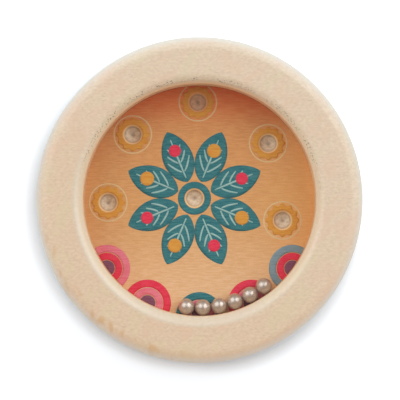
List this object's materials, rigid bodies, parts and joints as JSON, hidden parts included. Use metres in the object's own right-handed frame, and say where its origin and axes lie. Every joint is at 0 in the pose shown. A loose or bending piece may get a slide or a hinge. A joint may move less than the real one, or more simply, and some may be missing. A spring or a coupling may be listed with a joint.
{
  "type": "dexterity puzzle",
  "caption": "Round wooden pocket dexterity puzzle: steel balls roll behind a clear window over a printed board and are tilted into its drilled pockets.",
  "frame": {"origin": "centre of the ring's back face, which the puzzle lies on", "axes": "+Z out through the window along the ring's centre line, +Y up the picture, +X to the picture's right"},
  "size_m": [0.06, 0.06, 0.013],
  "materials": {
    "frame_wood": "sanded, unvarnished pale hardwood",
    "clear_pane": "clear and glossy",
    "spacer_wood": "plain thin wood",
    "printed_board": "matt ink printed on plywood",
    "ball_steel": "polished bearing steel"
  },
  "bodies": {
    "case": {"frame_ring": "frame_wood", "window_pane": "clear_pane", "spacer_ring": "spacer_wood", "picture_board": "printed_board"},
    "ball_1": {"ball_1": "ball_steel"},
    "ball_2": {"ball_2": "ball_steel"},
    "ball_3": {"ball_3": "ball_steel"},
    "ball_4": {"ball_4": "ball_steel"},
    "ball_5": {"ball_5": "ball_steel"},
    "ball_6": {"ball_6": "ball_steel"}
  },
  "joints": [
    {"name": "ball_1_roll", "type": "hinge", "parent": "case", "child": "ball_1", "pos_m": [0, 0, 0.0051], "axis": [0, 0, 1], "continuous": true},
    {"name": "ball_2_roll", "type": "hinge", "parent": "ball_1", "child": "ball_2", "pos_m": [0, 0, 0.0051], "axis": [0, 0, 1], "range_deg": [0, 60]},
    {"name": "ball_3_roll", "type": "hinge", "parent": "ball_2", "child": "ball_3", "pos_m": [0, 0, 0.0051], "axis": [0, 0, 1], "range_deg": [0, 60]},
    {"name": "ball_4_roll", "type": "hinge", "parent": "ball_3", "child": "ball_4", "pos_m": [0, 0, 0.0051], "axis": [0, 0, 1], "range_deg": [0, 60]},
    {"name": "ball_5_roll", "type": "hinge", "parent": "ball_4", "child": "ball_5", "pos_m": [0, 0, 0.0051], "axis": [0, 0, 1], "range_deg": [0, 60]},
    {"name": "ball_6_roll", "type": "hinge", "parent": "ball_5", "child": "ball_6", "pos_m": [0, 0, 0.0051], "axis": [0, 0, 1], "range_deg": [0, 60]}
  ]
}
